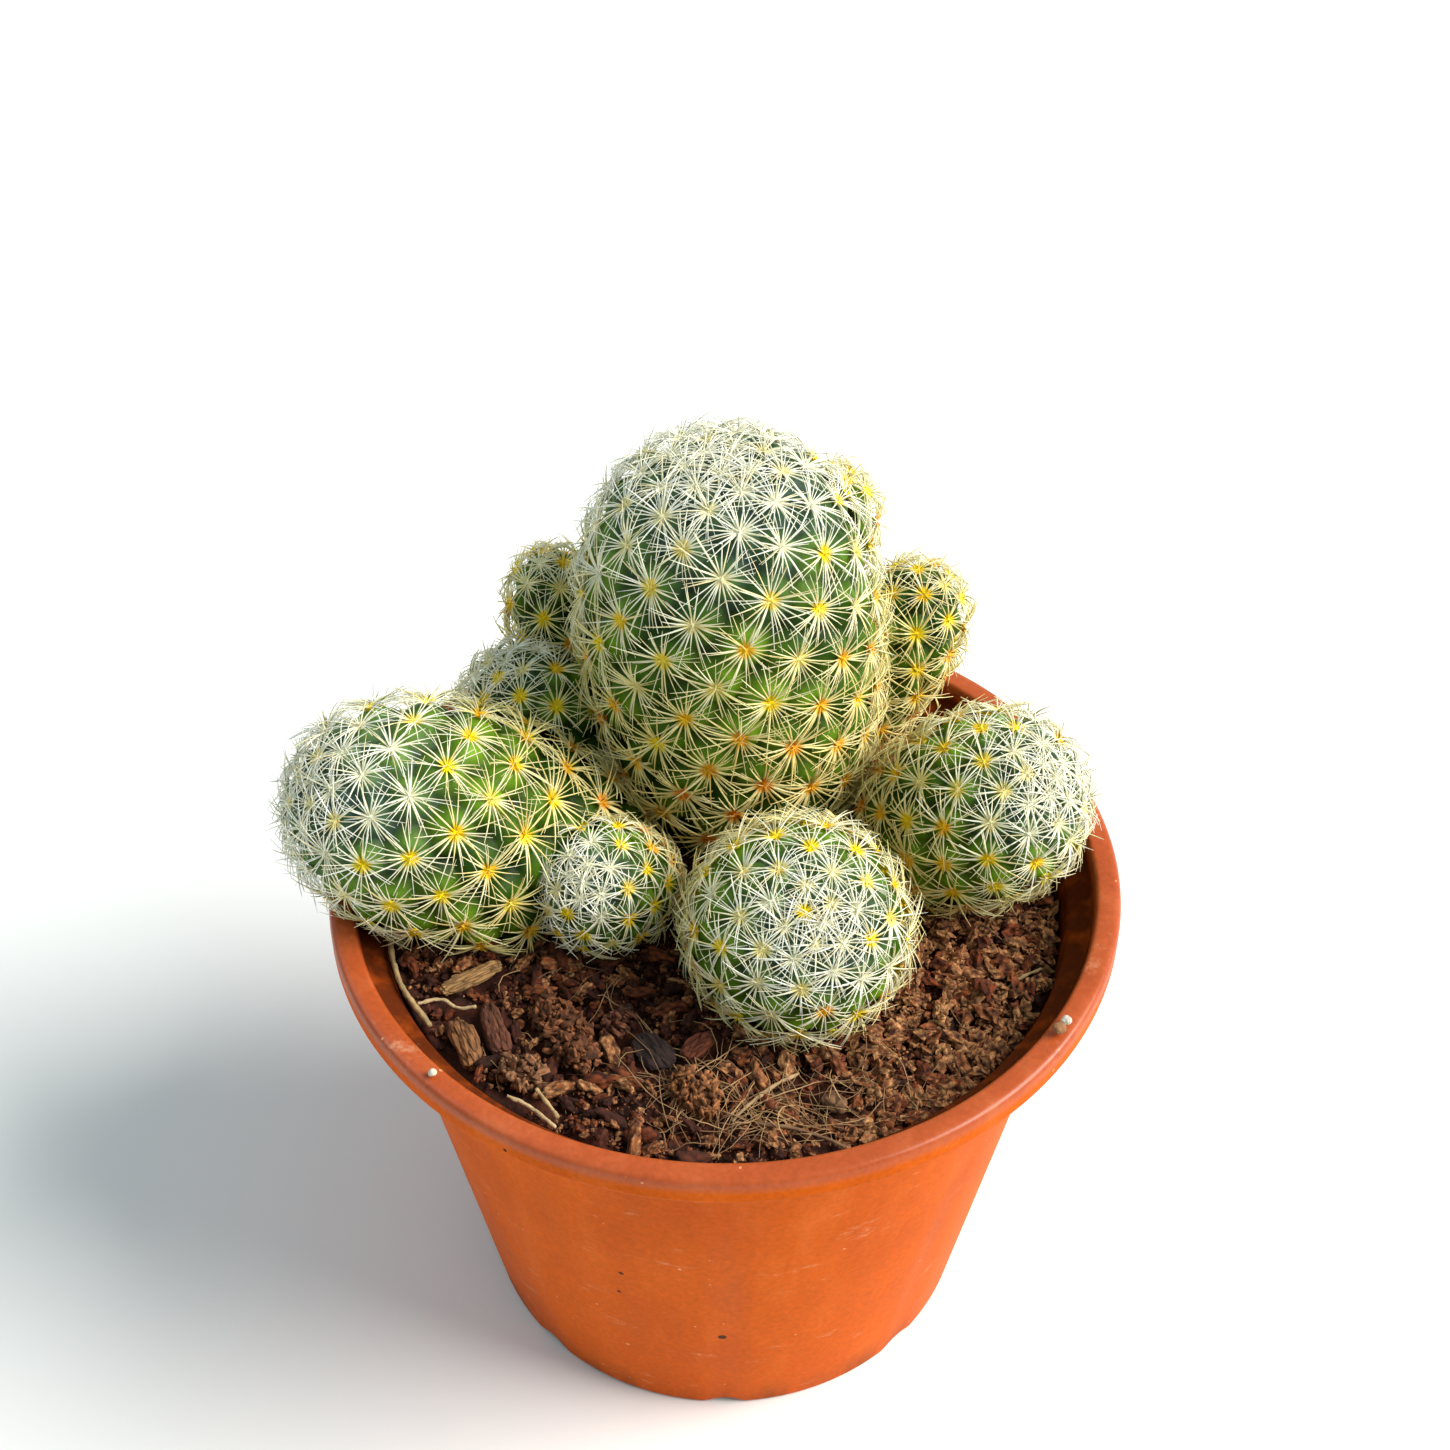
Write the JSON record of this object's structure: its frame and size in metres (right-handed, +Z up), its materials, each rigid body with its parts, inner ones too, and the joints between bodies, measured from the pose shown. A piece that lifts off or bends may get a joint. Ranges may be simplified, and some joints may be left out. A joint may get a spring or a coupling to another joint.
{
  "type": "potted round cactus",
  "caption": "Clumping round cactus with a tall stem and leaning side stems, rooted in coir soil in a tapered nursery pot with a rim band.",
  "frame": {"origin": "centre of the pot's foot, on the surface that the pot stands on", "axes": "+Z up; -Y is the front of the plant, where the small stems and open soil are; the largest side stem leans to -X"},
  "size_m": [0.1091, 0.105, 0.1222],
  "materials": {
    "pot_plastic": "satin injection-moulded polypropylene, terracotta orange",
    "coir_soil": "loose reddish-brown coir and bark crumbs, matt",
    "stem_flesh": "waxy green plant skin, satin",
    "spine": "cream spines with yellow to orange bases, satin",
    "bark": "rough weathered bark and coir clods, matt",
    "dry_root": "dry fibrous root and straw, matt",
    "grit": "small pale mineral grains, matt"
  },
  "bodies": {
    "root": {"pot": "pot_plastic", "potting_soil": "coir_soil", "main_stem": "stem_flesh", "front_offset": "stem_flesh", "left_offset": "stem_flesh", "right_offset": "stem_flesh", "left_rear_offset": "stem_flesh", "front_left_pup": "stem_flesh", "back_right_offset": "stem_flesh", "back_left_pup": "stem_flesh", "shoulder_pup": "stem_flesh", "woody_chip": "bark", "bark_chip_1": "bark", "bark_chip_2": "bark", "coir_clod_1": "bark", "coir_clod_2": "bark", "coir_clod_3": "bark", "coir_clod_4": "bark", "bark_flake": "bark", "red_bark_chip": "bark", "smooth_chip": "bark", "pale_chip": "bark", "long_root": "dry_root", "rootlet": "dry_root", "straw_1": "dry_root", "straw_2": "dry_root", "straw_3": "dry_root", "curled_fibre": "dry_root", "side_straw": "dry_root", "rim_grit_pale": "grit", "rim_grit_tan": "grit", "rim_grit_left": "grit"}
  },
  "joints": []
}
